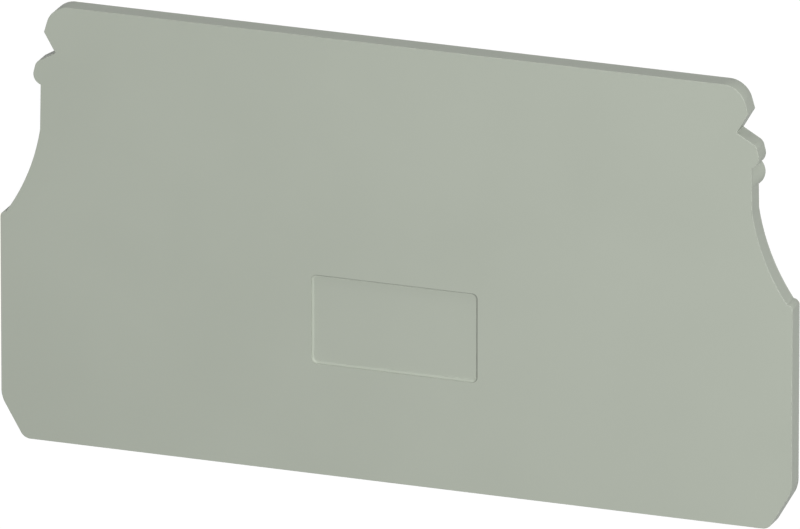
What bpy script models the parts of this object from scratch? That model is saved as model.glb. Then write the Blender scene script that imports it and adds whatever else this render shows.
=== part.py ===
"""Terminal block end cover: one moulded plate, lying on its pegs with its front face up.

X runs along the cover, Y runs up its height in use, and Z runs through its thickness.
The origin is the middle of its footprint, level with the tips of the pegs.
"""
import math

import bmesh
import bpy
from mathutils import Matrix, Vector
from mathutils.geometry import intersect_line_sphere_2d, intersect_sphere_sphere_2d

MM = 0.001

# Plate
PLATE_LENGTH = 85.0 * MM
PLATE_HEIGHT = 46.75 * MM
PLATE_THICKNESS = 2.2 * MM

# Cut corners at the foot
CUT_WIDTH = 2.45 * MM
CUT_HEIGHT = 4.25 * MM
CUT_LOWER_RADIUS = 1.1 * MM
CUT_UPPER_RADIUS = 2.7 * MM

# Shoulders and hollow flanks, placed from the top edge
SHOULDER_DROP = 22.55 * MM
SHOULDER_RADIUS = 0.62 * MM
FLANK_RADIUS = 22.3 * MM

# Neck
NECK_INSET = 4.43 * MM
NECK_FLARE = 0.08 * MM
NECK_FOOT_DROP = 13.3 * MM

# Square notch that takes the marker strip, and the lobe above it
NOTCH_DEPTH = 1.61 * MM
NOTCH_DROP = 4.98 * MM
NOTCH_SIDE = 2.43 * MM
NOTCH_TILT = math.radians(30)
LOBE_LEAN = math.radians(16.5)
LOBE_RADIUS = 2.35 * MM

# Beads below the notch: the first runs the full thickness, the second rises towards the back
FIRST_BEAD_RADIUS = 1.15 * MM
FIRST_BEAD_PROUD = 0.78 * MM
FIRST_BEAD_DROP = 1.27 * MM
FIRST_BEAD_LIP_RADIUS = 0.8 * MM
SECOND_BEAD_RADIUS = 1.66 * MM
SECOND_BEAD_PROUD = 0.75 * MM
SECOND_BEAD_OVERLAP = 0.47 * MM

# Label recess in the front
RECESS_LENGTH = 17.84 * MM
RECESS_HEIGHT = 9.55 * MM
RECESS_MIDDLE = 16.6 * MM
RECESS_DEPTH = 0.3 * MM
RECESS_CORNER_RADIUS = 0.6 * MM
RECESS_FLOOR_RADIUS = 0.25 * MM

# Cored back: a skin inside a rim
SKIN_THICKNESS = 1.3 * MM
RIM_WIDTH = 1.6 * MM
CORE_CORNER_RADIUS = 1.2 * MM
CORE_FLOOR_RADIUS = 0.3 * MM

# Stiffening ribs on the back
RIB_THICKNESS = 0.8 * MM
RIB_DRAFT = 0.1 * MM
UPRIGHT_RIB_SETBACK = 0.15 * MM
CROSS_RIB_SETBACK = 0.3 * MM
BAYS_BETWEEN_PEGS = 3

# Snap pegs on the back
PEG_SPACING = 54.0 * MM
PEG_FROM_BOTTOM = 8.5 * MM
PEG_FROM_TOP = 9.75 * MM
PEG_LENGTH = 2.5 * MM
PEG_RADIUS = 1.4 * MM
PEG_TAPER = 0.1 * MM
PEG_TIP_CHAMFER = 0.4 * MM
COLLAR_RADIUS = 2.3 * MM
COLLAR_SETBACK = 0.05 * MM

# Prints of the ejector pins on the back, two in each bay between the pegs' ribs
PIN_RADIUS = 1.5 * MM
PIN_PRINT_DEPTH = 0.05 * MM
PIN_FROM_CROSS_RIB = 3.0 * MM

# How far a facet may stray from its true arc, how far a cutter or a root reaches past the face
# it works on, and how close two points are that count as one
CHORD_ERROR = 0.004 * MM
REACH = 0.5 * MM
NEAR = 0.001 * MM

COVER_COLOUR = (0.415, 0.447, 0.383, 1.0)
COVER_ROUGHNESS = 0.55

HALF_LENGTH = PLATE_LENGTH / 2
BACK_LEVEL = PEG_LENGTH
FRONT_LEVEL = BACK_LEVEL + PLATE_THICKNESS
CORE_FLOOR_LEVEL = FRONT_LEVEL - SKIN_THICKNESS
NECK_X = HALF_LENGTH - NECK_INSET
SHOULDER_TOP = PLATE_HEIGHT - SHOULDER_DROP

CREASE = Vector((HALF_LENGTH - SHOULDER_RADIUS, SHOULDER_TOP))
NECK_FOOT = Vector((NECK_X + NECK_FLARE, PLATE_HEIGHT - NECK_FOOT_DROP))
NOTCH_BOTTOM = Vector((NECK_X - NOTCH_DEPTH, PLATE_HEIGHT - NOTCH_DROP))
NOTCH_LIP = NOTCH_BOTTOM + NOTCH_SIDE * Vector((math.cos(NOTCH_TILT), -math.sin(NOTCH_TILT)))
LOBE_TIP = NOTCH_BOTTOM + NOTCH_SIDE * Vector((math.sin(NOTCH_TILT), math.cos(NOTCH_TILT)))


def clear_scene():
    for obj in list(bpy.data.objects):
        bpy.data.objects.remove(obj, do_unlink=True)


def arc_steps(turn, radius):
    """Enough facets that none strays further than the chord error from the true round."""
    return max(2, math.ceil(abs(turn) / (2 * math.acos(1 - CHORD_ERROR / radius))))


def arc_points(centre, radius, start, end):
    """Points along an arc from one angle to another, both ends included."""
    steps = arc_steps(end - start, radius)
    angles = [start + (end - start) * i / steps for i in range(steps + 1)]
    return [centre + radius * Vector((math.cos(a), math.sin(a))) for a in angles]


def angle_to(centre, point):
    return math.atan2(point.y - centre.y, point.x - centre.x)


def shortest_arc(centre, start, end):
    """The short way round from one point to another, as points along the arc."""
    first = angle_to(centre, start)
    turn = (angle_to(centre, end) - first + math.pi) % math.tau - math.pi
    return arc_points(centre, (start - centre).length, first, first + turn)


def fillet_points(before, corner, after, radius):
    """A rounded corner, tangent to the straight runs on its two sides."""
    back = (before - corner).normalized()
    ahead = (after - corner).normalized()
    half_angle = back.angle(ahead) / 2
    centre = corner + (back + ahead).normalized() * radius / math.sin(half_angle)
    setback = radius / math.tan(half_angle)
    return shortest_arc(centre, corner + back * setback, corner + ahead * setback)


def rounded_run(stops, radius):
    """A chain of straight runs with every inner corner rounded, without its two ends."""
    points = []
    for before, corner, after in zip(stops, stops[1:], stops[2:]):
        points += fillet_points(before, corner, after, radius)
    return points


def half_chord(radius, proud):
    """Half the width of a bead of this radius where it stands this proud of its wall."""
    return math.sqrt(radius ** 2 - (radius - proud) ** 2)


def foot_outline():
    """The cut corner, the side and the quarter-round shoulder."""
    bottom_middle = Vector((0, 0))
    cut_start = Vector((HALF_LENGTH - CUT_WIDTH, 0))
    cut_end = Vector((HALF_LENGTH, CUT_HEIGHT))
    shoulder_centre = CREASE - Vector((0, SHOULDER_RADIUS))
    side_top = shoulder_centre + Vector((SHOULDER_RADIUS, 0))
    points = fillet_points(bottom_middle, cut_start, cut_end, CUT_LOWER_RADIUS)
    points += fillet_points(cut_start, cut_end, side_top, CUT_UPPER_RADIUS)
    points += shortest_arc(shoulder_centre, side_top, CREASE)
    return points


def flank_centre():
    """Centre of the hollow flank's arc, outside the plate."""
    chord = NECK_FOOT - CREASE
    outward = Vector((chord.y, -chord.x)).normalized()
    rise = math.sqrt(FLANK_RADIUS ** 2 - (chord.length / 2) ** 2)
    return CREASE + chord / 2 + outward * rise


def flank_outline():
    """The hollow flank, between the shoulder's crease and the foot of the neck."""
    return shortest_arc(flank_centre(), CREASE, NECK_FOOT)[1:]


def first_bead_centre():
    x = NECK_X + FIRST_BEAD_PROUD - FIRST_BEAD_RADIUS
    return Vector((x, NOTCH_LIP.y - FIRST_BEAD_DROP))


def first_bead_foot():
    """Where the first bead leaves the neck."""
    rise = half_chord(FIRST_BEAD_RADIUS, FIRST_BEAD_PROUD)
    return Vector((NECK_X, first_bead_centre().y - rise))


def first_bead_crown():
    """The outer end of the bead's round, where its straight run up to the notch's lip starts."""
    centre = first_bead_centre()
    reach = NOTCH_LIP - centre
    angle = angle_to(centre, NOTCH_LIP) - math.acos(FIRST_BEAD_RADIUS / reach.length)
    return centre + FIRST_BEAD_RADIUS * Vector((math.cos(angle), math.sin(angle)))


def bead_outlines():
    """The beads on the front face and on the back face, as two matching rows of points."""
    first_centre = first_bead_centre()
    foot = first_bead_foot()
    rise = half_chord(SECOND_BEAD_RADIUS, SECOND_BEAD_PROUD)
    second_centre = Vector((NECK_X + SECOND_BEAD_PROUD - SECOND_BEAD_RADIUS,
                            foot.y + SECOND_BEAD_OVERLAP - rise))
    second_foot = Vector((NECK_X, second_centre.y - rise))
    meetings = intersect_sphere_sphere_2d(first_centre, FIRST_BEAD_RADIUS,
                                          second_centre, SECOND_BEAD_RADIUS)
    valley = max(meetings, key=lambda point: point.x)
    level = Vector((1, 0))
    crossings = intersect_line_sphere_2d(foot - level, foot + level, second_centre,
                                         SECOND_BEAD_RADIUS, False)
    beside_foot = max(crossings, key=lambda point: point.x)
    below = shortest_arc(second_centre, second_foot, beside_foot)
    above = shortest_arc(second_centre, beside_foot, valley)[1:]

    def on_first_bead(y):
        run = math.sqrt(FIRST_BEAD_RADIUS ** 2 - (y - first_centre.y) ** 2)
        return Vector((first_centre.x + run, y))

    shared = shortest_arc(first_centre, valley, first_bead_crown())[1:]
    front = [Vector((NECK_X, p.y)) for p in below] + [on_first_bead(p.y) for p in above]
    return front + shared, below + above + shared


def head_outline():
    """The lip below the notch, the notch, and the lobe up to the top edge."""
    lean = Vector((-math.sin(LOBE_LEAN), math.cos(LOBE_LEAN)))
    rise = PLATE_HEIGHT - LOBE_TIP.y
    lobe_corner = LOBE_TIP + lean * rise / lean.y
    top_middle = Vector((0, PLATE_HEIGHT))
    points = fillet_points(first_bead_crown(), NOTCH_LIP, NOTCH_BOTTOM, FIRST_BEAD_LIP_RADIUS)
    points += [NOTCH_BOTTOM, LOBE_TIP]
    points += fillet_points(LOBE_TIP, lobe_corner, top_middle, LOBE_RADIUS)
    return points


def mirrored_ring(half):
    """A closed outline from its right half, which runs from the bottom edge to the top."""
    return half + [Vector((-p.x, p.y)) for p in reversed(half)]


def add_ring(mesh, ring, level):
    """A closed loop of edges at one level, its height counted from the middle of the plate."""
    verts = [mesh.verts.new((p.x, p.y - PLATE_HEIGHT / 2, level)) for p in ring]
    edges = [mesh.edges.new(pair) for pair in zip(verts, verts[1:] + verts[:1])]
    return verts, edges


def make_object(name, mesh):
    bmesh.ops.recalc_face_normals(mesh, faces=mesh.faces)
    data = bpy.data.meshes.new(name)
    mesh.to_mesh(data)
    mesh.free()
    obj = bpy.data.objects.new(name, data)
    bpy.context.scene.collection.objects.link(obj)
    return obj


def make_plate():
    """The full-thickness plate, lofted from its front outline to its back outline."""
    front_beads, back_beads = bead_outlines()
    lower = foot_outline() + flank_outline()
    front_ring = mirrored_ring(lower + front_beads + head_outline())
    back_ring = mirrored_ring(lower + back_beads + head_outline())
    mesh = bmesh.new()
    front_verts, front_edges = add_ring(mesh, front_ring, FRONT_LEVEL)
    back_verts, back_edges = add_ring(mesh, back_ring, BACK_LEVEL)
    bmesh.ops.bridge_loops(mesh, edges=front_edges + back_edges)
    mesh.faces.new(front_verts)
    mesh.faces.new(back_verts)
    # A new face has no normal yet, and without one its concave outline fills wrongly.
    bmesh.ops.recalc_face_normals(mesh, faces=mesh.faces)
    bmesh.ops.triangulate(mesh, faces=mesh.faces)
    return make_object("end_cover", mesh)


def round_edges(mesh, edges, radius):
    bmesh.ops.bevel(mesh, geom=edges, offset=radius, offset_type='OFFSET',
                    segments=arc_steps(math.pi / 2, radius), profile=0.5, affect='EDGES',
                    clamp_overlap=True)


def is_upright(edge):
    start, end = (vert.co for vert in edge.verts)
    return abs(start.z - end.z) > NEAR


def lies_at(edge, level):
    return all(abs(vert.co.z - level) < NEAR for vert in edge.verts)


def make_recess_cutter():
    """The label recess: a rounded rectangle with a hollow fillet round its floor."""
    mesh = bmesh.new()
    floor = FRONT_LEVEL - RECESS_DEPTH
    middle = Vector((0, RECESS_MIDDLE - PLATE_HEIGHT / 2, floor + REACH / 2))
    size = Vector((RECESS_LENGTH, RECESS_HEIGHT, REACH))
    bmesh.ops.create_cube(mesh, size=1, matrix=Matrix.LocRotScale(middle, None, size))
    round_edges(mesh, [e for e in mesh.edges if is_upright(e)], RECESS_CORNER_RADIUS)
    round_edges(mesh, [e for e in mesh.edges if lies_at(e, floor)], RECESS_FLOOR_RADIUS)
    return make_object("label_recess_cutter", mesh)


def core_outline():
    """The cored area's right half: the plate's outline, drawn in by the rim's width."""
    side = HALF_LENGTH - RIM_WIDTH
    head = NOTCH_BOTTOM.x - RIM_WIDTH
    cut_angle = math.atan2(CUT_HEIGHT, CUT_WIDTH)
    shift = RIM_WIDTH / math.tan((math.pi - cut_angle) / 2)
    cut_start = Vector((HALF_LENGTH - CUT_WIDTH - shift, RIM_WIDTH))
    cut_end = Vector((side, RIM_WIDTH + (side - cut_start.x) * CUT_HEIGHT / CUT_WIDTH))
    flank = flank_centre()
    flank_radius = FLANK_RADIUS + RIM_WIDTH
    bend_x = side - CORE_CORNER_RADIUS
    bend_drop = math.sqrt((flank_radius + CORE_CORNER_RADIUS) ** 2 - (flank.x - bend_x) ** 2)
    bend = Vector((bend_x, flank.y - bend_drop))
    side_top = Vector((side, bend.y))
    flank_start = flank + (bend - flank).normalized() * flank_radius
    flank_end = flank + (NECK_FOOT - flank).normalized() * flank_radius
    below_notch = Vector((flank_end.x, first_bead_foot().y))
    beside_notch = Vector((head, NOTCH_BOTTOM.y))
    top = Vector((head, PLATE_HEIGHT - RIM_WIDTH))
    lower = (Vector((0, RIM_WIDTH)), cut_start, cut_end, side_top)
    upper = (flank_end, below_notch, beside_notch, top, Vector((0, top.y)))
    return (rounded_run(lower, CORE_CORNER_RADIUS)
            + shortest_arc(bend, side_top, flank_start)[:-1]
            + shortest_arc(flank, flank_start, flank_end)
            + rounded_run(upper, CORE_CORNER_RADIUS))


def make_core_cutter():
    """The hollow in the back that leaves a thin skin inside the rim."""
    mesh = bmesh.new()
    outside = BACK_LEVEL - REACH
    verts, _ = add_ring(mesh, mirrored_ring(core_outline()), outside)
    face = mesh.faces.new(verts)
    depth = Vector((0, 0, CORE_FLOOR_LEVEL - outside))
    prism = bmesh.ops.extrude_face_region(mesh, geom=[face], use_keep_orig=True)
    moved = [g for g in prism["geom"] if isinstance(g, bmesh.types.BMVert)]
    bmesh.ops.translate(mesh, verts=moved, vec=depth)
    bmesh.ops.recalc_face_normals(mesh, faces=mesh.faces)
    floor_edges = [e for e in mesh.edges if lies_at(e, CORE_FLOOR_LEVEL)]
    round_edges(mesh, floor_edges, CORE_FLOOR_RADIUS)
    return make_object("core_cutter", mesh)


def add_rib(mesh, middle, length, setback, runs_up):
    """One straight rib with drafted sides, rooted in the skin."""
    tip = BACK_LEVEL + setback
    root = CORE_FLOOR_LEVEL + REACH
    width, depth = (RIB_THICKNESS, length) if runs_up else (length, RIB_THICKNESS)
    place = Vector((middle.x, middle.y - PLATE_HEIGHT / 2, (tip + root) / 2))
    size = Vector((width, depth, root - tip))
    rib = bmesh.ops.create_cube(mesh, size=1, matrix=Matrix.LocRotScale(place, None, size))
    for vert in rib["verts"]:
        if vert.co.z < place.z:
            axis = 0 if runs_up else 1
            vert.co[axis] -= math.copysign(RIB_DRAFT, vert.co[axis] - place[axis])


def peg_heights():
    return PEG_FROM_BOTTOM, PLATE_HEIGHT - PEG_FROM_TOP


def make_upright_ribs():
    """Ribs up the back: one through each pair of pegs, and more evenly between them."""
    mesh = bmesh.new()
    length = PLATE_HEIGHT - RIM_WIDTH
    for i in range(BAYS_BETWEEN_PEGS + 1):
        x = PEG_SPACING * (i / BAYS_BETWEEN_PEGS - 0.5)
        add_rib(mesh, Vector((x, PLATE_HEIGHT / 2)), length, UPRIGHT_RIB_SETBACK, True)
    return make_object("upright_ribs", mesh)


def make_cross_ribs():
    """Ribs along the back, level with the lower and the upper pegs."""
    mesh = bmesh.new()
    low, high = peg_heights()
    lengths = (PLATE_LENGTH - RIM_WIDTH, 2 * NECK_X - RIM_WIDTH)
    for y, length in zip((low, high), lengths):
        add_rib(mesh, Vector((0, y)), length, CROSS_RIB_SETBACK, False)
    return make_object("cross_ribs", mesh)


def make_pegs():
    """Four turned pegs, each on a collar that stands up to the rim."""
    root = CORE_FLOOR_LEVEL + REACH
    collar = BACK_LEVEL + COLLAR_SETBACK
    tip_radius = PEG_RADIUS - PEG_TAPER
    profile = ((0, root), (COLLAR_RADIUS, root), (COLLAR_RADIUS, collar),
               (PEG_RADIUS, collar), (tip_radius, PEG_TIP_CHAMFER),
               (tip_radius - PEG_TIP_CHAMFER, 0), (0, 0))
    mesh = bmesh.new()
    for x in (-PEG_SPACING / 2, PEG_SPACING / 2):
        for y in peg_heights():
            axis = Vector((x, y - PLATE_HEIGHT / 2, 0))
            verts = [mesh.verts.new(axis + Vector((r, 0, z))) for r, z in profile]
            edges = [mesh.edges.new(pair) for pair in zip(verts, verts[1:])]
            bmesh.ops.spin(mesh, geom=verts + edges, cent=axis, axis=(0, 0, 1),
                           angle=math.tau, steps=arc_steps(math.tau, COLLAR_RADIUS),
                           use_merge=True)
    bmesh.ops.remove_doubles(mesh, verts=mesh.verts, dist=NEAR)
    return make_object("pegs", mesh)


def make_ejector_cutter():
    """Shallow round prints in the skin, where the ejector pins pushed the moulding out."""
    low, high = peg_heights()
    bottom = CORE_FLOOR_LEVEL + PIN_PRINT_DEPTH
    mesh = bmesh.new()
    for bay in range(BAYS_BETWEEN_PEGS):
        x = PEG_SPACING * ((bay + 0.5) / BAYS_BETWEEN_PEGS - 0.5)
        for y in (low + PIN_FROM_CROSS_RIB, high - PIN_FROM_CROSS_RIB):
            place = Vector((x, y - PLATE_HEIGHT / 2, bottom - REACH / 2))
            bmesh.ops.create_cone(mesh, cap_ends=True, segments=arc_steps(math.tau, PIN_RADIUS),
                                  radius1=PIN_RADIUS, radius2=PIN_RADIUS, depth=REACH,
                                  matrix=Matrix.Translation(place))
    return make_object("ejector_cutter", mesh)


def combine(target, tool, operation):
    """Cut the tool from the target, or join it on, and keep the tool as a wire guide."""
    tool.display_type = 'WIRE'
    tool.hide_render = True
    boolean = target.modifiers.new(tool.name, 'BOOLEAN')
    boolean.operation = operation
    boolean.solver = 'EXACT'
    boolean.object = tool


def moulded_polyamide():
    material = bpy.data.materials.new("moulded_polyamide")
    material.use_nodes = True
    shader = material.node_tree.nodes["Principled BSDF"]
    shader.inputs["Base Color"].default_value = COVER_COLOUR
    shader.inputs["Roughness"].default_value = COVER_ROUGHNESS
    shader.inputs["Metallic"].default_value = 0.0
    return material


def main():
    clear_scene()
    cover = make_plate()
    combine(cover, make_recess_cutter(), 'DIFFERENCE')
    combine(cover, make_core_cutter(), 'DIFFERENCE')
    combine(cover, make_upright_ribs(), 'UNION')
    combine(cover, make_cross_ribs(), 'UNION')
    combine(cover, make_pegs(), 'UNION')
    combine(cover, make_ejector_cutter(), 'DIFFERENCE')
    cover.data.materials.append(moulded_polyamide())


main()
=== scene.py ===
# %% [markdown]
# # A terminal block end cover
# The real object is one small plate, moulded in grey-green polyamide, that closes the open
# side of a terminal block. It lies here as it would on a bench: on its pegs, front face up.
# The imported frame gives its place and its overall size, and everything below follows that.

# %% Load the frame
import math

import bmesh
import bpy
from mathutils import Matrix, Vector


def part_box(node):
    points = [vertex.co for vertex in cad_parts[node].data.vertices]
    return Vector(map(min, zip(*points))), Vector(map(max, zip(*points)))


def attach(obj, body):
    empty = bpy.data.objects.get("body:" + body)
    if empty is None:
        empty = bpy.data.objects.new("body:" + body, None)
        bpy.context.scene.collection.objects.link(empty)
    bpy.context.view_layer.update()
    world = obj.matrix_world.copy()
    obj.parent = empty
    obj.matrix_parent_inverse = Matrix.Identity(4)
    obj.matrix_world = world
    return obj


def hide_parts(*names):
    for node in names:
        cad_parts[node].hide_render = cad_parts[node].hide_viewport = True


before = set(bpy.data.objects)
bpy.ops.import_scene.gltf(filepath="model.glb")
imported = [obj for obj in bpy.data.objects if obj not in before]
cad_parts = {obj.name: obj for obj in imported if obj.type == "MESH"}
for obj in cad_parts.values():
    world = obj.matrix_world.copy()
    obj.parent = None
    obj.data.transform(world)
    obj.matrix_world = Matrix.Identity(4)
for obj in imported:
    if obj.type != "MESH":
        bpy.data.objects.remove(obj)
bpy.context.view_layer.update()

MM = 0.001
LOW, HIGH = (Vector(corner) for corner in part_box("end_cover"))
LENGTH, HEIGHT, DEPTH = HIGH - LOW
print(f"cover: {LENGTH / MM:.1f} x {HEIGHT / MM:.2f} x {DEPTH / MM:.1f} mm")

# %% [markdown]
# ## The camera
# The reference looks at the plate as it stands upright, from a little to the right and a
# little above, through a very long lens, so parallel edges stay almost parallel. The plate
# lies on its back here, so the same view looks down on it. Turning both angles from the
# upright plate to the lying one keeps every proportion of the picture.

# %% Aim the camera
VIEW_TURN = math.radians(19.94)
VIEW_RISE = math.radians(19.28)
LENS = 1100.0
SENSOR = 36.0
FRAME_WIDTH = 800
PIXELS_PER_MM = 9.9126
AIM_ACROSS = 0.203 * MM
AIM_DOWN = 0.367 * MM
SIGHT_HEIGHT = 23.5 * MM
SIGHT_DEPTH = 1.1 * MM
NEAREST_SEEN = 0.1
FARTHEST_SEEN = 10.0


def lying(x, depth, height):
    """A direction given for the upright plate, turned to the plate that lies face up."""
    return Vector((x, height, -depth))


def make_camera():
    """Put the camera on its line of sight, so far out that the lens gives the right scale."""
    turn, rise = VIEW_TURN, VIEW_RISE
    towards = lying(math.sin(turn) * math.cos(rise), -math.cos(turn) * math.cos(rise),
                    math.sin(rise))
    across = lying(math.cos(turn), math.sin(turn), 0)
    up = towards.cross(across)
    sight = Vector((0, LOW.y + SIGHT_HEIGHT, HIGH.z - SIGHT_DEPTH))
    sight += across * AIM_ACROSS - up * AIM_DOWN
    distance = LENS / SENSOR * FRAME_WIDTH / PIXELS_PER_MM * MM
    data = bpy.data.cameras.new("camera")
    data.lens = LENS
    data.sensor_width = SENSOR
    data.clip_start = NEAREST_SEEN
    data.clip_end = FARTHEST_SEEN
    camera = bpy.data.objects.new("camera", data)
    turned = Matrix((across, up, towards)).transposed().to_4x4()
    camera.matrix_world = Matrix.Translation(sight + towards * distance) @ turned
    bpy.context.scene.collection.objects.link(camera)
    bpy.context.scene.camera = camera
    return distance


print(f"camera stands {make_camera():.2f} m away")

# %% [markdown]
# ## Drawing the outline
# A moulder's drawing of this cover is a chain of straight runs and arcs. A mesh can be drawn
# the same way, as with a pen: extruding one vertex makes a straight edge, and spinning one
# vertex about a centre leaves an arc behind it. Only the right half is drawn, from the middle
# of the bottom edge to the middle of the top edge. A mirror gives the left half, so the two
# sides can't differ. The chord error sets how fine the rounds are: so small that a close view
# stays smooth, and chosen so that no point of a bead's round falls into the crease beside it.

# %% Pen strokes
CHORD_ERROR = 0.0008 * MM
FEWEST_STEPS = 3


def arc_steps(turn, radius):
    """Enough edges that none strays further than the chord error from the true round."""
    widest = 2 * math.acos(1 - CHORD_ERROR / radius)
    return max(FEWEST_STEPS, math.ceil(abs(turn) / widest))


def pen_at(mesh, point):
    """Set the pen down."""
    return bmesh.ops.create_vert(mesh, co=(*point, 0))["vert"][0]


def line_to(mesh, pen, point):
    """A straight edge from the pen to a point."""
    end = bmesh.ops.extrude_vert_indiv(mesh, verts=[pen])["verts"][0]
    end.co = (*point, 0)
    return end


def arc_to(mesh, pen, centre, point):
    """The short way round a centre, from the pen to a point at the same distance from it."""
    start = Vector(pen.co[:2]) - centre
    turn = -start.angle_signed(point - centre)
    made = bmesh.ops.spin(mesh, geom=[pen], cent=(*centre, 0), axis=(0, 0, 1), angle=turn,
                          steps=arc_steps(turn, start.length))
    return [item for item in made["geom_last"] if isinstance(item, bmesh.types.BMVert)][0]


print(f"a quarter of a 2 mm round gets {arc_steps(math.pi / 2, 2 * MM)} edges")

# %% [markdown]
# ## The corners of the plate
# All heights here count from the bottom edge. The shoulders, the neck, the beads and the notch
# belong to the upper end, so they hang from the top edge: a taller cover would only get longer
# sides. The notch is a square one, tilted by 30 degrees, and takes the edge of a marker strip.

# %% Corner points
HALF = LENGTH / 2
NECK_X = HALF - 4.43 * MM
NECK_FLARE = 0.08 * MM
FLANK_RADIUS = 22.3 * MM
SHOULDER_RADIUS = 0.62 * MM
CUT_START = Vector((HALF - 2.45 * MM, 0))
CUT_END = Vector((HALF, 4.25 * MM))
CREASE = Vector((HALF - SHOULDER_RADIUS, HEIGHT - 22.55 * MM))
NECK_FOOT = Vector((NECK_X + NECK_FLARE, HEIGHT - 13.3 * MM))

NOTCH_SIDE = 2.43 * MM
NOTCH_TILT = math.radians(30)
NOTCH_BOTTOM = Vector((NECK_X - 1.61 * MM, HEIGHT - 4.98 * MM))
NOTCH_LIP = NOTCH_BOTTOM + NOTCH_SIDE * Vector((math.cos(NOTCH_TILT), -math.sin(NOTCH_TILT)))
LOBE_TIP = NOTCH_BOTTOM + NOTCH_SIDE * Vector((math.sin(NOTCH_TILT), math.cos(NOTCH_TILT)))
LOBE_LEAN = math.radians(16.5)
LOBE_CORNER = Vector((LOBE_TIP.x - math.tan(LOBE_LEAN) * (HEIGHT - LOBE_TIP.y), HEIGHT))

BEAD_RADIUS = 1.15 * MM
BEAD_PROUD = 0.78 * MM
BEAD_CENTRE = Vector((NECK_X + BEAD_PROUD - BEAD_RADIUS, NOTCH_LIP.y - 1.27 * MM))
REAR_BEAD_RADIUS = 1.66 * MM
REAR_BEAD_PROUD = 0.75 * MM
REAR_BEAD_OVERLAP = 0.47 * MM


def half_chord(radius, proud):
    """Half the width of a bead of this radius where it stands this proud of its wall."""
    return math.sqrt(radius ** 2 - (radius - proud) ** 2)


BEAD_FOOT = Vector((NECK_X, BEAD_CENTRE.y - half_chord(BEAD_RADIUS, BEAD_PROUD)))
REAR_CHORD = half_chord(REAR_BEAD_RADIUS, REAR_BEAD_PROUD)
REAR_CENTRE = Vector((NECK_X + REAR_BEAD_PROUD - REAR_BEAD_RADIUS,
                      BEAD_FOOT.y + REAR_BEAD_OVERLAP - REAR_CHORD))
REAR_FOOT = Vector((NECK_X, REAR_CENTRE.y - REAR_CHORD))
REAR_TOP = Vector((NECK_X, REAR_CENTRE.y + REAR_CHORD))
print(f"notch bottom {NOTCH_BOTTOM.x / MM:.2f}, {NOTCH_BOTTOM.y / MM:.2f} mm")

# %% [markdown]
# ## The plate
# The strokes below follow the drawing. The bead's round ends where a straight run up to the
# notch's lip leaves it as a tangent, and that point comes from the right-angled triangle of
# centre, lip and tangent point. The mirrored outline is then filled and pulled down to the
# plate's thickness.

# %% Draw, fill and extrude
PLATE_THICKNESS = 2.2 * MM
FRONT_LEVEL = HIGH.z
BACK_LEVEL = FRONT_LEVEL - PLATE_THICKNESS
NEAR = 0.001 * MM


def flank_centre():
    """The middle of the hollow flank's round, outside the plate."""
    chord = NECK_FOOT - CREASE
    outward = Vector((chord.y, -chord.x)).normalized()
    return CREASE + chord / 2 + outward * math.sqrt(FLANK_RADIUS ** 2 - (chord.length / 2) ** 2)


def bead_crown():
    """Where the straight run from the notch's lip touches the bead's round."""
    reach = NOTCH_LIP - BEAD_CENTRE
    angle = math.atan2(reach.y, reach.x) - math.acos(BEAD_RADIUS / reach.length)
    return BEAD_CENTRE + BEAD_RADIUS * Vector((math.cos(angle), math.sin(angle)))


def draw_half(mesh):
    """The right half of the plate's outline, from the middle below to the middle above."""
    shoulder_centre = CREASE - Vector((0, SHOULDER_RADIUS))
    pen = pen_at(mesh, Vector((0, 0)))
    for point in (CUT_START, CUT_END, shoulder_centre + Vector((SHOULDER_RADIUS, 0))):
        pen = line_to(mesh, pen, point)
    pen = arc_to(mesh, pen, shoulder_centre, CREASE)
    pen = arc_to(mesh, pen, flank_centre(), NECK_FOOT)
    pen = line_to(mesh, pen, BEAD_FOOT)
    pen = arc_to(mesh, pen, BEAD_CENTRE, bead_crown())
    for point in (NOTCH_LIP, NOTCH_BOTTOM, LOBE_TIP, LOBE_CORNER, Vector((0, HEIGHT))):
        pen = line_to(mesh, pen, point)


def extrude_to(mesh, face, vec):
    """Pull a face out. Gives back the points and the face at the far end."""
    moved = bmesh.ops.extrude_face_region(mesh, geom=[face] + face.edges[:])["geom"]
    verts = [item for item in moved if isinstance(item, bmesh.types.BMVert)]
    bmesh.ops.translate(mesh, verts=verts, vec=vec)
    bmesh.ops.recalc_face_normals(mesh, faces=mesh.faces)
    return verts, [item for item in moved if isinstance(item, bmesh.types.BMFace)][0]


def start_plate():
    """The plate as a plain prism with sharp corners."""
    mesh = bmesh.new()
    draw_half(mesh)
    bmesh.ops.mirror(mesh, geom=mesh.verts[:] + mesh.edges[:], axis='X', merge_dist=NEAR)
    face = bmesh.ops.contextual_create(mesh, geom=mesh.edges[:])["faces"][0]
    bmesh.ops.dissolve_verts(mesh, verts=[v for v in mesh.verts if abs(v.co.x) < NEAR])
    bmesh.ops.translate(mesh, verts=mesh.verts, vec=(0, LOW.y, FRONT_LEVEL))
    extrude_to(mesh, face, Vector((0, 0, -PLATE_THICKNESS)))
    return mesh


plate = start_plate()
print(f"plate: {len(plate.verts)} vertices")

# %% [markdown]
# ## Rounding the upright corners
# Four corners on each side have real radii: the two ends of the cut corner, the lip below the
# notch and the top of the lobe. On a prism the simplest way is to bevel its upright edges. A
# bevel is measured by how far it runs along the two walls, so a corner that turns by an angle
# gets that radius times the tangent of half the angle. Three more corners are as sharp as a
# tool can cut them, and get the radius of a broken edge.

# %% Round the corners
CORNER_RADII = ((CUT_START, 1.1 * MM), (CUT_END, 2.7 * MM), (NOTCH_LIP, 0.8 * MM),
                (LOBE_CORNER, 2.35 * MM))
SHARP_RADIUS = 0.06 * MM
SHARP_CORNERS = ((CREASE, SHARP_RADIUS), (NOTCH_BOTTOM, SHARP_RADIUS), (LOBE_TIP, SHARP_RADIUS))


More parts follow.
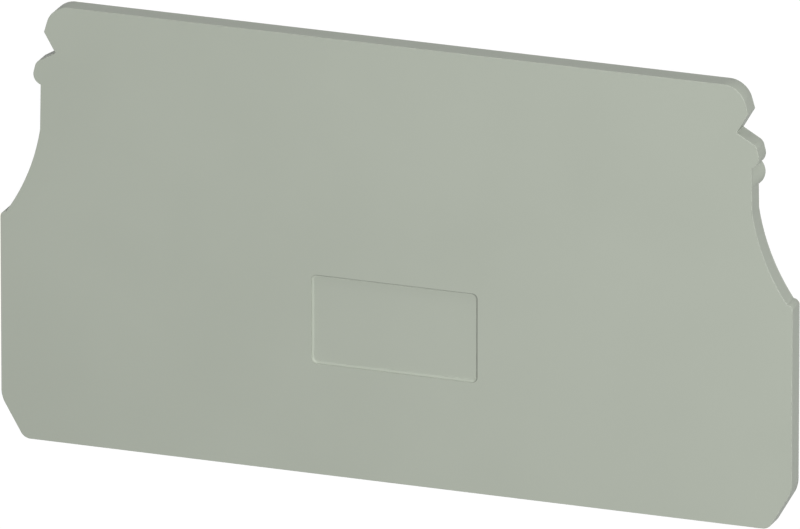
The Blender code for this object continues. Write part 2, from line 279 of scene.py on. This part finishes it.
def upright_edges_at(mesh, point):
    """The upright edges at this point of the outline and at its mirror image."""
    found = []
    for edge in mesh.edges:
        start, end = (vert.co for vert in edge.verts)
        here = Vector((abs(start.x), start.y - LOW.y))
        if abs(start.z - end.z) > NEAR and (here - point).length < NEAR:
            found.append(edge)
    return found


def bevel(mesh, edges, offset, segments):
    """Round edges off by this offset along the faces beside them."""
    bmesh.ops.bevel(mesh, geom=edges, offset=offset, offset_type='OFFSET', segments=segments,
                    profile=0.5, affect='EDGES', material=-1)


def round_corners(mesh, corners):
    """Give each corner its radius, on both halves."""
    for point, radius in corners:
        edges = upright_edges_at(mesh, point)
        turn = edges[0].calc_face_angle()
        bevel(mesh, edges, radius * math.tan(turn / 2), arc_steps(turn, radius))


round_corners(plate, CORNER_RADII)
round_corners(plate, SHARP_CORNERS)
print(f"plate after rounding: {len(plate.verts)} vertices")

# %% [markdown]
# ## From bmesh to objects
# The recess and the hollow back are cut with Boolean modifiers, which is how most people would
# do it by hand. The tools are real closed meshes, and once a modifier is applied its tool is
# thrown away. The exact solver is used, because several faces here lie in one plane. It numbers
# its points in another order on each run, and a bevel or the next Boolean can depend on that
# order. So each result has its points and faces numbered anew by where they are, and every
# later step meets the same mesh on every run.

# %% Boolean helpers


def make_object(name, mesh):
    """Turn a finished bmesh into an object of the scene."""
    bmesh.ops.recalc_face_normals(mesh, faces=mesh.faces)
    data = bpy.data.meshes.new(name)
    mesh.to_mesh(data)
    mesh.free()
    obj = bpy.data.objects.new(name, data)
    bpy.context.scene.collection.objects.link(obj)
    return obj


def in_order(data):
    """The same mesh, with points and faces numbered by where they are."""
    points = sorted(data.vertices, key=lambda vert: vert.co[:])
    number = {vert.index: i for i, vert in enumerate(points)}
    faces = []
    for face in data.polygons:
        corners = [number[i] for i in face.vertices]
        first = corners.index(min(corners))
        faces.append(corners[first:] + corners[:first])
    ordered = bpy.data.meshes.new(data.name)
    ordered.from_pydata([vert.co for vert in points], [], sorted(faces))
    return ordered


def combine(obj, tool_mesh, operation):
    """Cut a tool out of the object, or join it on."""
    tool = make_object("tool", tool_mesh)
    tool.data = in_order(tool.data)
    boolean = obj.modifiers.new("boolean", 'BOOLEAN')
    boolean.operation = operation
    boolean.solver = 'EXACT'
    boolean.object = tool
    graph = bpy.context.evaluated_depsgraph_get()
    result = bpy.data.meshes.new_from_object(obj.evaluated_get(graph))
    obj.modifiers.clear()
    obj.data = in_order(result)
    bpy.data.objects.remove(tool, do_unlink=True)
    return len(result.polygons)


cover = make_object("cover_moulding", plate)
print(f"cover starts with {len(cover.data.polygons)} faces")

# %% [markdown]
# ## The rear bead
# A second bead starts from nothing just behind the front edge and swells towards the back, so
# that it guides the cover into its neighbour. Its wall is a ramp between a straight line in
# front and an arc at the back. The tool for it is a segment of a circle, pulled forward step
# by step. Each step takes away an equal share of its bulge, so the last one is straight. The
# Boolean finds the crease where the ramp meets the first bead.

# %% Join the rear beads
REACH = 0.5 * MM
RAMP_SETBACK = 0.07 * MM
RAMP_STEPS = 12


def is_upright(edge):
    """Whether an edge runs through the plate's thickness."""
    start, end = (vert.co for vert in edge.verts)
    return abs(start.z - end.z) > NEAR


def rear_bead_tool():
    """Both rear beads. They reach into the plate, so that the union has something to join."""
    mesh = bmesh.new()
    pen = pen_at(mesh, REAR_TOP - Vector((REACH, 0)))
    for point in (REAR_FOOT - Vector((REACH, 0)), REAR_FOOT):
        pen = line_to(mesh, pen, point)
    arc_to(mesh, pen, REAR_CENTRE, REAR_TOP)
    face = bmesh.ops.contextual_create(mesh, geom=mesh.edges[:])["faces"][0]
    bmesh.ops.translate(mesh, verts=mesh.verts, vec=(0, LOW.y, BACK_LEVEL))
    step = Vector((0, 0, (PLATE_THICKNESS - RAMP_SETBACK) / RAMP_STEPS))
    for left in range(RAMP_STEPS, 0, -1):
        verts, face = extrude_to(mesh, face, step)
        for vert in verts:
            vert.co.x -= max(0, vert.co.x - NECK_X) / left
    bmesh.ops.mirror(mesh, geom=mesh.verts[:] + mesh.edges[:] + mesh.faces[:], axis='X',
                     merge_dist=NEAR)
    return mesh


print(f"rear beads joined: {combine(cover, rear_bead_tool(), 'UNION')} faces")

# %% [markdown]
# ## The cored back
# A plate moulded solid would sink and warp as it cools, so the back is hollowed to a thin skin
# inside a rim. The core follows the plate's outline at the rim's width, and the pen draws it
# the same way.

# %% Cut the core
SKIN_THICKNESS = 1.3 * MM
RIM_WIDTH = 1.6 * MM
CORE_CORNER_RADIUS = 1.2 * MM
CORE_FLOOR = FRONT_LEVEL - SKIN_THICKNESS


def draw_half_core(mesh):
    """The sharp outline of the core's right half. Gives back the corners that get a radius."""
    side = HALF - RIM_WIDTH
    head = NOTCH_BOTTOM.x - RIM_WIDTH
    slope = (CUT_END.y - CUT_START.y) / (CUT_END.x - CUT_START.x)
    low_x = CUT_START.x - RIM_WIDTH / math.tan((math.pi - math.atan(slope)) / 2)
    centre = flank_centre()
    radius = FLANK_RADIUS + RIM_WIDTH
    flank_low = Vector((side, centre.y - math.sqrt(radius ** 2 - (centre.x - side) ** 2)))
    flank_high = centre + (NECK_FOOT - centre).normalized() * radius
    lower = (Vector((low_x, RIM_WIDTH)), Vector((side, RIM_WIDTH + (side - low_x) * slope)),
             flank_low)
    upper = (Vector((flank_high.x, BEAD_FOOT.y)), Vector((head, NOTCH_BOTTOM.y)),
             Vector((head, HEIGHT - RIM_WIDTH)))
    pen = pen_at(mesh, Vector((0, RIM_WIDTH)))
    for point in lower:
        pen = line_to(mesh, pen, point)
    pen = arc_to(mesh, pen, centre, flank_high)
    for point in (*upper, Vector((0, HEIGHT - RIM_WIDTH))):
        pen = line_to(mesh, pen, point)
    return lower + upper


def core_tool():
    """The block of air behind the skin, with rounded corners."""
    mesh = bmesh.new()
    corners = draw_half_core(mesh)
    bmesh.ops.mirror(mesh, geom=mesh.verts[:] + mesh.edges[:], axis='X', merge_dist=NEAR)
    face = bmesh.ops.contextual_create(mesh, geom=mesh.edges[:])["faces"][0]
    bmesh.ops.dissolve_verts(mesh, verts=[v for v in mesh.verts if abs(v.co.x) < NEAR])
    bmesh.ops.translate(mesh, verts=mesh.verts, vec=(0, LOW.y, CORE_FLOOR))
    extrude_to(mesh, face, Vector((0, 0, BACK_LEVEL - REACH - CORE_FLOOR)))
    round_corners(mesh, [(point, CORE_CORNER_RADIUS) for point in corners])
    return mesh


print(f"core cut: {combine(cover, core_tool(), 'DIFFERENCE')} faces")

# %% [markdown]
# ## Ribs
# Ribs keep the thin skin flat. Four stand upright, the outer two of them through the pegs, and
# two run across through the pegs. Their sides lean in towards the tip, so that the moulding
# leaves its tool.

# %% Add the ribs
RIB_THICKNESS = 0.8 * MM
RIB_DRAFT = 0.1 * MM
RIB_SETBACK = 0.15 * MM
CROSS_RIB_SETBACK = 0.3 * MM
PEG_SPACING = 54.0 * MM
PEG_HEIGHTS = (8.5 * MM, HEIGHT - 9.75 * MM)
BAYS_BETWEEN_PEGS = 3


def rib_tool(middle, length, setback, runs_up):
    """A bar across the core, thinner at its tip by the draft on each side."""
    mesh = bmesh.new()
    tip, root = BACK_LEVEL + setback, CORE_FLOOR + REACH
    width, depth = (RIB_THICKNESS, length) if runs_up else (length, RIB_THICKNESS)
    place = Vector((middle.x, LOW.y + middle.y, (tip + root) / 2))
    size = Vector((width, depth, root - tip))
    bmesh.ops.create_cube(mesh, size=1, matrix=Matrix.LocRotScale(place, None, size))
    axis = 0 if runs_up else 1
    for vert in mesh.verts:
        if vert.co.z < place.z:
            vert.co[axis] -= math.copysign(RIB_DRAFT, vert.co[axis] - place[axis])
    return mesh


for i in range(BAYS_BETWEEN_PEGS + 1):
    x = PEG_SPACING * (i / BAYS_BETWEEN_PEGS - 0.5)
    combine(cover, rib_tool(Vector((x, HEIGHT / 2)), HEIGHT - RIM_WIDTH, RIB_SETBACK, True),
            'UNION')
for y, run in zip(PEG_HEIGHTS, (LENGTH - RIM_WIDTH, 2 * NECK_X - RIM_WIDTH)):
    faces = combine(cover, rib_tool(Vector((0, y)), run, CROSS_RIB_SETBACK, False), 'UNION')
print(f"ribs added: {faces} faces")

# %% [markdown]
# ## Pegs
# Four round pegs snap into holes in the terminal block. A peg is a turned form, so its profile
# is spun about its axis: a collar that stands up to the rim, a slightly tapered shank and a
# chamfered tip. A peg has few enough steps that the fillets round its collar don't overlap.

# %% Turn the pegs
PEG_RADIUS = 1.4 * MM
PEG_TAPER = 0.1 * MM
PEG_CHAMFER = 0.4 * MM
COLLAR_RADIUS = 2.3 * MM
COLLAR_SETBACK = 0.05 * MM
PEG_STEPS = 52


def peg_tool(x, y):
    """One peg with its collar, closed at both ends."""
    root, collar = CORE_FLOOR + REACH, BACK_LEVEL + COLLAR_SETBACK
    tip = PEG_RADIUS - PEG_TAPER
    profile = ((0, root), (COLLAR_RADIUS, root), (COLLAR_RADIUS, collar),
               (PEG_RADIUS, collar), (tip, LOW.z + PEG_CHAMFER), (tip - PEG_CHAMFER, LOW.z),
               (0, LOW.z))
    axis = Vector((x, LOW.y + y, 0))
    mesh = bmesh.new()
    pen = bmesh.ops.create_vert(mesh, co=axis + Vector((0, 0, root)))["vert"][0]
    for radius, level in profile[1:]:
        pen = bmesh.ops.extrude_vert_indiv(mesh, verts=[pen])["verts"][0]
        pen.co = axis + Vector((radius, 0, level))
    bmesh.ops.spin(mesh, geom=mesh.verts[:] + mesh.edges[:], cent=axis, axis=(0, 0, 1),
                   angle=math.tau, steps=PEG_STEPS, use_merge=True)
    bmesh.ops.remove_doubles(mesh, verts=mesh.verts, dist=NEAR)
    return mesh


for x in (-PEG_SPACING / 2, PEG_SPACING / 2):
    for y in PEG_HEIGHTS:
        faces = combine(cover, peg_tool(x, y), 'UNION')
print(f"pegs added: {faces} faces")

# %% [markdown]
# ## Root fillets and edge breaks
# No moulding has a perfectly sharp edge. Where a rib, a collar or the rim meets the skin there
# is a fillet, and every outer edge is broken by a few hundredths of a millimetre. That thin
# rounding is what catches the light along an edge, and it is done once the whole body stands.
# The rim is a ring, and a mesh face can't have a hole, so it has to be cut across in two
# places. The solver cuts it at the crease between the beads, past a point that lies too near
# the edge for the bevel. So the rim is first cut straight across in the middle, and the
# solver's own cuts are then dissolved.

# %% Fillet and break the edges
ROOT_RADIUS = 0.2 * MM
ROOT_SEGMENTS = 5
EDGE_RADIUS = 0.06 * MM
EDGE_SEGMENTS = 3
EDGE_ANGLE = math.radians(35)
ROOT_ANGLE = math.radians(57)
FLAT_TURN = math.radians(0.05)


def lies_at(item, level):
    """Whether all of a point, an edge or a face lies at this level."""
    verts = [item] if isinstance(item, bmesh.types.BMVert) else item.verts
    return all(abs(vert.co.z - level) < NEAR for vert in verts)


def is_seam(edge):
    """Whether an edge is one of the two cuts across the rim."""
    return all(abs(vert.co.x) < NEAR for vert in edge.verts)


def clean_flats(mesh):
    """Take needless edges out of flat faces, and cut the rim in two straight across."""
    bmesh.ops.remove_doubles(mesh, verts=mesh.verts, dist=NEAR)
    rim = [item for items in (mesh.verts, mesh.edges, mesh.faces) for item in items
           if lies_at(item, BACK_LEVEL)]
    bmesh.ops.bisect_plane(mesh, geom=rim, plane_co=(0, 0, 0), plane_no=(1, 0, 0))
    bmesh.ops.dissolve_limit(mesh, angle_limit=FLAT_TURN, verts=mesh.verts,
                             edges=[e for e in mesh.edges if not is_seam(e)])


def finish_edges(obj):
    """Fillet the roots and break the sharp edges. Gives back how many of each there were."""
    mesh = bmesh.new()
    mesh.from_mesh(obj.data)
    clean_flats(mesh)
    roots = [e for e in mesh.edges
             if lies_at(e, CORE_FLOOR) and e.is_manifold
             and e.calc_face_angle_signed() < -ROOT_ANGLE]
    bevel(mesh, roots, ROOT_RADIUS, ROOT_SEGMENTS)
    sharp = [e for e in mesh.edges if e.is_manifold and e.calc_face_angle_signed() > EDGE_ANGLE]
    bevel(mesh, sharp, EDGE_RADIUS, EDGE_SEGMENTS)
    mesh.to_mesh(obj.data)
    mesh.free()
    obj.data = in_order(obj.data)
    return len(roots), len(sharp)


print(f"root and outer edges: {finish_edges(cover)}")

# %% [markdown]
# ## Marks of the tool
# Two kinds of shallow print come from inserts in the tool, and their edges stay crisp. Low in
# the middle of the front lies a rounded rectangle for a label. Its wall isn't square to the
# floor but a hollow curve, so light draws it as a soft line, bright on one side and dark on the
# other. On the back, each ejector pin leaves a round print a few hundredths deep.

# %% Cut the recess
RECESS_SIZE = Vector((17.84, 9.55)) * MM
RECESS_MIDDLE = 16.6 * MM
RECESS_DEPTH = 0.3 * MM
RECESS_CORNER_RADIUS = 0.6 * MM
RECESS_FLOOR_RADIUS = 0.25 * MM
RECESS_CORNER_SEGMENTS = 14
RECESS_FLOOR_SEGMENTS = 10


def recess_tool():
    """A box with rounded corners and, round its floor, a fillet nearly as high as its wall."""
    mesh = bmesh.new()
    floor = FRONT_LEVEL - RECESS_DEPTH
    middle = Vector((0, LOW.y + RECESS_MIDDLE, floor + REACH / 2))
    size = Vector((*RECESS_SIZE, REACH))
    bmesh.ops.create_cube(mesh, size=1, matrix=Matrix.LocRotScale(middle, None, size))
    upright = [e for e in mesh.edges if is_upright(e)]
    bevel(mesh, upright, RECESS_CORNER_RADIUS, RECESS_CORNER_SEGMENTS)
    foot = [e for e in mesh.edges if lies_at(e, floor)]
    bevel(mesh, foot, RECESS_FLOOR_RADIUS, RECESS_FLOOR_SEGMENTS)
    return mesh


print(f"recess cut: {combine(cover, recess_tool(), 'DIFFERENCE')} faces")

# %% Print the ejector pins
PIN_RADIUS = 1.5 * MM
PIN_PRINT = 0.05 * MM
PIN_FROM_RIB = 3.0 * MM
PIN_SEGMENTS = 48


def ejector_tool():
    """A round bar for each pin, two in each bay between the pegs."""
    mesh = bmesh.new()
    heights = (PEG_HEIGHTS[0] + PIN_FROM_RIB, PEG_HEIGHTS[1] - PIN_FROM_RIB)
    for bay in range(BAYS_BETWEEN_PEGS):
        x = PEG_SPACING * ((bay + 0.5) / BAYS_BETWEEN_PEGS - 0.5)
        for y in heights:
            place = Vector((x, LOW.y + y, CORE_FLOOR + PIN_PRINT - REACH / 2))
            bmesh.ops.create_cone(mesh, cap_ends=True, segments=PIN_SEGMENTS,
                                  radius1=PIN_RADIUS, radius2=PIN_RADIUS, depth=REACH,
                                  matrix=Matrix.Translation(place))
    return mesh


print(f"pins printed: {combine(cover, ejector_tool(), 'DIFFERENCE')} faces")

# %% [markdown]
# ## Shading
# Rounds should look round and flats flat. Every face is shaded smooth, edges that turn sharply
# are kept sharp, and a Weighted Normal modifier lets the large flat faces rule the small
# rounded ones beside them, so no shade creeps across the front.

# %% Shade the cover
SHARP_TURN = math.radians(35)
STRONG_FACES = 100


def shade(obj):
    """Smooth the rounds and keep the flats flat. Gives back the number of points."""
    obj.data.shade_smooth()
    obj.data.set_sharp_from_angle(angle=SHARP_TURN)
    weighted = obj.modifiers.new("flat_faces_stay_flat", 'WEIGHTED_NORMAL')
    weighted.mode = 'FACE_AREA'
    weighted.weight = STRONG_FACES
    weighted.keep_sharp = True
    return len(obj.data.vertices)


print(f"cover: {shade(cover)} vertices")

# %% [markdown]
# ## The plastic
# The cover is glass-free polyamide, coloured through and moulded in a finely spark-eroded
# tool. The eye reads an even, matt grey-green with no grain direction, a soft broad sheen, and
# a fine pebbled surface that only a close view resolves. The real grain is about 0.1 mm, which
# this picture can't show, so it is drawn at 0.25 mm.

# %% Moulded polyamide
GRAIN = 0.25 * MM
GRAIN_DEPTH = 0.01 * MM
GRAIN_DETAIL = 2.0
GRAIN_STRENGTH = 0.3
FLOW_MARK = 14.0 * MM
FLOW_DETAIL = 3.0
ROUGH_LOW = 0.46
ROUGH_HIGH = 0.54
POLYAMIDE_IOR = 1.53
GREY_GREEN_LOW = "#A7ADA1"
GREY_GREEN_HIGH = "#A9AFA3"
TONE_FROM = 0.35
TONE_TO = 0.65


def linear(code):
    """An sRGB hex colour as the linear values that a shader takes."""
    channels = [int(code[i:i + 2], 16) / 255 for i in (1, 3, 5)]
    return (*((c / 12.92 if c <= 0.04045 else ((c + 0.055) / 1.055) ** 2.4) for c in channels), 1)


def node(tree, kind, links=None, **settings):
    """One node: settings name its properties or sockets, and links name what feeds them."""
    made = tree.nodes.new(kind)
    for name, value in settings.items():
        if hasattr(made, name):
            setattr(made, name, value)
        else:
            made.inputs[name.replace("_", " ")].default_value = value
    for name, source in (links or {}).items():
        tree.links.new(source, made.inputs[name])
    return made


def moulded_polyamide():
    """Slow flow marks in the tone, and a fine grain in the gloss and the height."""
    material = bpy.data.materials.new("moulded_polyamide")
    material.use_nodes = True
    tree = material.node_tree
    shader = tree.nodes["Principled BSDF"]
    place = node(tree, "ShaderNodeTexCoord").outputs["Object"]
    flow = node(tree, "ShaderNodeTexNoise", {"Vector": place}, Scale=1 / FLOW_MARK,
                Detail=FLOW_DETAIL)
    tone = node(tree, "ShaderNodeValToRGB", {"Fac": flow.outputs["Fac"]})
    stops = ((TONE_FROM, GREY_GREEN_LOW), (TONE_TO, GREY_GREEN_HIGH))
    for stop, (place_on_ramp, code) in zip(tone.color_ramp.elements, stops):
        stop.position = place_on_ramp
        stop.color = linear(code)
    grain = node(tree, "ShaderNodeTexNoise", {"Vector": place}, Scale=1 / GRAIN,
                 Detail=GRAIN_DETAIL)
    rough = node(tree, "ShaderNodeMapRange", {"Value": grain.outputs["Fac"]})
    rough.inputs["To Min"].default_value = ROUGH_LOW
    rough.inputs["To Max"].default_value = ROUGH_HIGH
    bump = node(tree, "ShaderNodeBump", {"Height": grain.outputs["Fac"]},
                Strength=GRAIN_STRENGTH)
    bump.inputs["Distance"].default_value = GRAIN_DEPTH
    tree.links.new(tone.outputs["Color"], shader.inputs["Base Color"])
    tree.links.new(rough.outputs["Result"], shader.inputs["Roughness"])
    tree.links.new(bump.outputs["Normal"], shader.inputs["Normal"])
    shader.inputs["IOR"].default_value = POLYAMIDE_IOR
    return material


cover.data.materials.clear()
cover.data.materials.append(moulded_polyamide())
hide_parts("end_cover")
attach(cover, "root")
print(f"cover: {sum(len(p.vertices) - 2 for p in cover.data.polygons)} triangles")

# %% [markdown]
# ## The floor
# The picture needs a plain white ground. The board is a middle grey, so that it throws only a
# little light back on the edges, and the camera sees it lifted to white. It still takes the
# cover's soft shadow.

# %% Floor
FLOOR_SIZE = 6.0
FLOOR_GREY = "#787878"
FLOOR_ROUGHNESS = 0.9
LIFT_SHARE = 0.85
LIFT_STRENGTH = 1.18


def seen_directly(tree):
    """1 for rays from the camera and for mirrored or refracted ones, 0 for the light's own."""
    path = node(tree, "ShaderNodeLightPath")
    rays = node(tree, "ShaderNodeMath", {0: path.outputs["Is Camera Ray"],
                                         1: path.outputs["Is Glossy Ray"]}, operation='MAXIMUM')
    return node(tree, "ShaderNodeMath", {0: rays.outputs[0],
                                         1: path.outputs["Is Transmission Ray"]},
                operation='MAXIMUM').outputs[0]


def studio_floor():
    """A board that is grey to the light and white to the camera."""
    material = bpy.data.materials.new("matt_board")
    material.use_nodes = True
    tree = material.node_tree
    shader = tree.nodes["Principled BSDF"]
    shader.inputs["Base Color"].default_value = linear(FLOOR_GREY)
    shader.inputs["Roughness"].default_value = FLOOR_ROUGHNESS
    shader.inputs["Specular IOR Level"].default_value = 0.0
    lift = node(tree, "ShaderNodeEmission", Strength=LIFT_STRENGTH)
    share = node(tree, "ShaderNodeMapRange", {"Value": seen_directly(tree)}, To_Max=LIFT_SHARE)
    mix = node(tree, "ShaderNodeMixShader", {"Fac": share.outputs["Result"],
                                             1: shader.outputs["BSDF"],
                                             2: lift.outputs["Emission"]})
    tree.links.new(mix.outputs["Shader"], tree.nodes["Material Output"].inputs["Surface"])
    mesh = bmesh.new()
    bmesh.ops.create_grid(mesh, x_segments=1, y_segments=1, size=FLOOR_SIZE / 2,
                          matrix=Matrix.Translation((0, 0, LOW.z)))
    floor = make_object("floor", mesh)
    floor.data.materials.append(material)


studio_floor()
print(f"floor: {FLOOR_SIZE:.0f} m square")

# %% [markdown]
# ## The light
# Two round panels stand far out, and a dim sky fills the rest. The key, to the right and a
# little above, gives the slow fall of brightness to the left and draws the recess: its left
# wall catches the light and its right wall keeps a shade. The fill is low, beyond the top edge,
# and brightens the walls that look that way.

# %% Lamps and sky
KEY_PLACE = Vector((0.345, 0.210, 0.501))
KEY_WATTS = 3.75
FILL_PLACE = Vector((0.0, 0.580, 0.166))
FILL_WATTS = 0.4
PANEL_SIZE = 0.2
SKY_STRENGTH = 0.22


def make_panel(name, place, watts):
    """A round lamp that faces the cover and that the camera doesn't see."""
    data = bpy.data.lights.new(name, 'AREA')
    data.shape = 'DISK'
    data.size = PANEL_SIZE
    data.energy = watts
    panel = bpy.data.objects.new(name, data)
    panel.location = place
    panel.rotation_euler = place.to_track_quat('Z', 'Y').to_euler()
    panel.visible_camera = False
    bpy.context.scene.collection.objects.link(panel)


def make_sky():
    """A white sky that is dim as a lamp and full white where it is seen."""
    world = bpy.data.worlds.new("studio")
    world.use_nodes = True
    tree = world.node_tree
    sky = tree.nodes["Background"]
    sky.inputs["Color"].default_value = (1, 1, 1, 1)
    strength = node(tree, "ShaderNodeMapRange", {"Value": seen_directly(tree)},
                    To_Min=SKY_STRENGTH, To_Max=1.0)
    tree.links.new(strength.outputs["Result"], sky.inputs["Strength"])
    bpy.context.scene.world = world


make_panel("key_panel", KEY_PLACE, KEY_WATTS)
make_panel("fill_panel", FILL_PLACE, FILL_WATTS)
make_sky()
bpy.context.scene.view_settings.view_transform = 'Standard'
print(f"key {KEY_PLACE.length:.2f} m away, fill {FILL_PLACE.length:.2f} m away")
